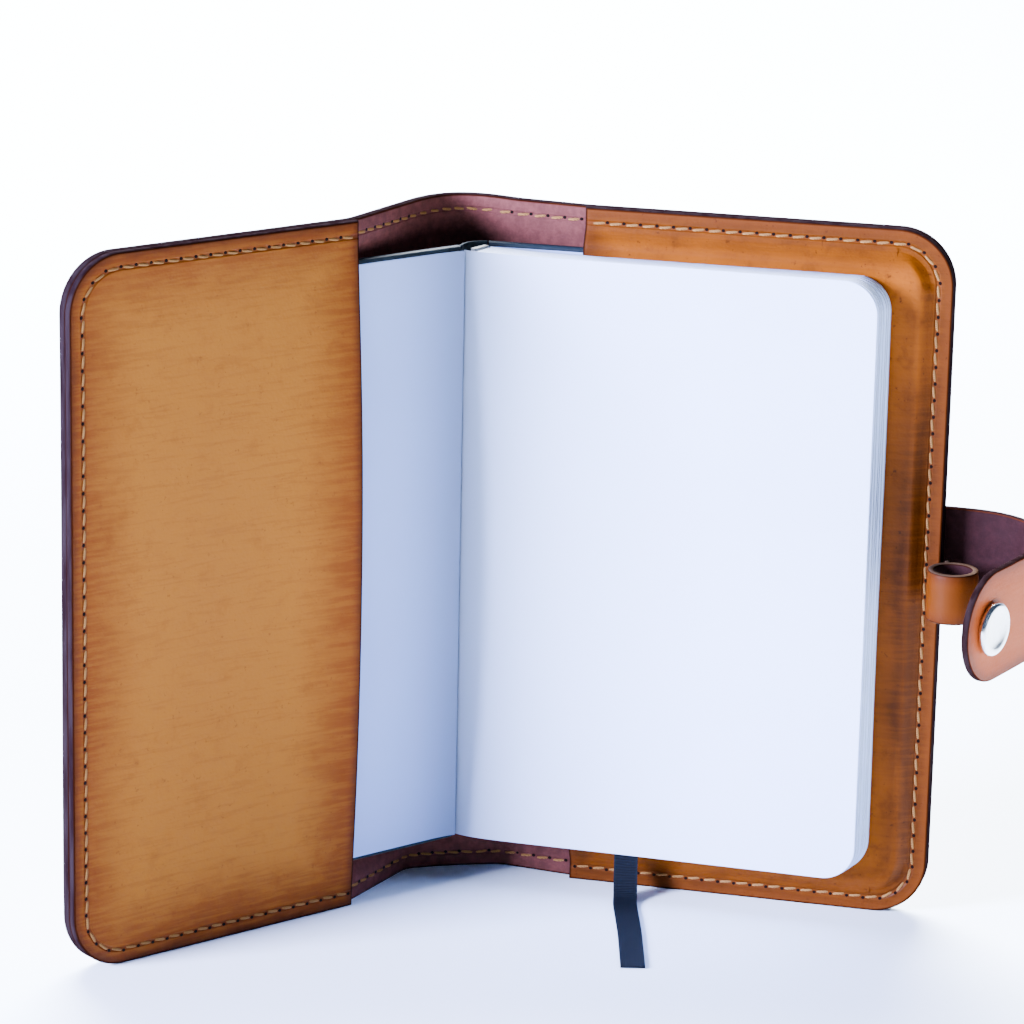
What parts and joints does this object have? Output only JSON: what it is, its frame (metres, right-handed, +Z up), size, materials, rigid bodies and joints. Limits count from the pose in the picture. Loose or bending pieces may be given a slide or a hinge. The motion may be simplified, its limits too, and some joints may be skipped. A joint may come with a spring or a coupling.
{
  "type": "pocket notebook",
  "caption": "Hard-cover pocket notebook held in a leather pocket cover with an arched spine, a snap strap and a pen loop.",
  "frame": {"origin": "centre of the footprint of the half-open cover, at the height that it stands on", "axes": "+Z up along the spine, +X from the front cover to the back cover, +Y from the reader to the spine"},
  "size_m": [0.2284, 0.1102, 0.168],
  "materials": {
    "hide_grain": "satin pebbled grain",
    "hide_flesh": "matt flesh side",
    "strap_leather": "satin grain, burnished edge",
    "board_cloth": "fine-grained black covering",
    "paper": "matt",
    "thread": "waxed",
    "snap_steel": "polished",
    "ribbon": "ribbed satin",
    "headband_cloth": "matt"
  },
  "bodies": {
    "spine": {"spine_panel": "hide_flesh"},
    "left_gusset_body": {"left_gusset": "hide_flesh"},
    "left_cover": {"left_cover_panel": "hide_grain", "left_pocket": "hide_grain", "left_seam_thread": "thread", "snap_stud": "snap_steel", "snap_post": "snap_steel"},
    "front_board_body": {"front_board": "board_cloth", "front_pastedown": "paper"},
    "right_gusset_body": {"right_gusset": "hide_flesh"},
    "right_cover": {"right_cover_panel": "hide_grain", "right_pocket": "hide_grain", "right_seam_thread": "thread", "pen_loop": "hide_grain", "strap_root": "strap_leather", "strap_thread": "thread"},
    "book_block": {"back_board": "board_cloth", "back_pastedown": "paper", "signature_1": "paper", "signature_2": "paper", "signature_3": "paper", "signature_4": "paper", "signature_5": "paper", "signature_6": "paper", "spine_cloth": "board_cloth", "spine_lining": "paper", "headband_top": "headband_cloth", "headband_bottom": "headband_cloth", "ribbon_marker": "ribbon"},
    "turning_leaf_body": {"turning_leaf": "paper"},
    "strap_bend_1_body": {"strap_bend_1": "strap_leather"},
    "strap_bend_2_body": {"strap_bend_2": "strap_leather"},
    "strap_tip_body": {"strap_tip": "strap_leather", "snap_cap": "snap_steel", "snap_socket": "snap_steel"}
  },
  "joints": [
    {"name": "fold_left", "type": "hinge", "parent": "spine", "child": "left_gusset_body", "pos_m": [-0.02485, 0.04644, 0], "axis": [0, 0, 1], "range_deg": [-20.3, 47.7], "deforming": ["ribbon_marker"]},
    {"name": "flex_left", "type": "hinge", "parent": "left_gusset_body", "child": "left_cover", "pos_m": [-0.04288, 0.0254, 0], "axis": [0, 0, 1], "range_deg": [-6.6, 15.5]},
    {"name": "front_board_creep", "type": "slide", "parent": "left_cover", "child": "front_board_body", "axis": [-0.8918, -0.4524, 0], "range_m": [-0.0027, 0.0062]},
    {"name": "fold_right", "type": "hinge", "parent": "spine", "child": "right_gusset_body", "pos_m": [0.00015, 0.04644, 0], "axis": [0, 0, -1], "range_deg": [-23.6, 58.6]},
    {"name": "flex_right", "type": "hinge", "parent": "right_gusset_body", "child": "right_cover", "pos_m": [0.01575, 0.03595, 0], "axis": [0, 0, -1], "range_deg": [-2.3, 5.6]},
    {"name": "back_board_creep", "type": "slide", "parent": "right_cover", "child": "book_block", "axis": [0.8996, -0.4368, 0], "range_m": [-0.0026, 0.0064], "deforming": ["spine_cloth", "ribbon_marker"]},
    {"name": "leaf_turn", "type": "hinge", "parent": "book_block", "child": "turning_leaf_body", "pos_m": [-0.01362, 0.03887, 0], "axis": [0, 0, 1], "range_deg": [-114, 0], "deforming": ["turning_leaf"]},
    {"name": "strap_bend_root", "type": "hinge", "parent": "right_cover", "child": "strap_bend_1_body", "pos_m": [0.09739, -0.00013, 0], "axis": [0, 0, -1], "range_deg": [-37, 23]},
    {"name": "strap_bend_middle", "type": "hinge", "parent": "strap_bend_1_body", "child": "strap_bend_2_body", "pos_m": [0.1131, -0.01652, 0], "axis": [0, 0, -1], "range_deg": [-37, 23]},
    {"name": "strap_bend_tip", "type": "hinge", "parent": "strap_bend_2_body", "child": "strap_tip_body", "pos_m": [0.09882, -0.04074, 0], "axis": [0, 0, -1], "range_deg": [-37, 23]}
  ],
  "couplings": [
    {"joint": "flex_left", "follows": "fold_left", "ratio": 0.324},
    {"joint": "front_board_creep", "follows": "fold_left", "m_per_rad": 0.0074},
    {"joint": "flex_right", "follows": "fold_right", "ratio": 0.094},
    {"joint": "back_board_creep", "follows": "fold_right", "m_per_rad": 0.00616},
    {"joint": "strap_bend_middle", "follows": "strap_bend_root", "ratio": 1},
    {"joint": "strap_bend_tip", "follows": "strap_bend_root", "ratio": 1}
  ]
}
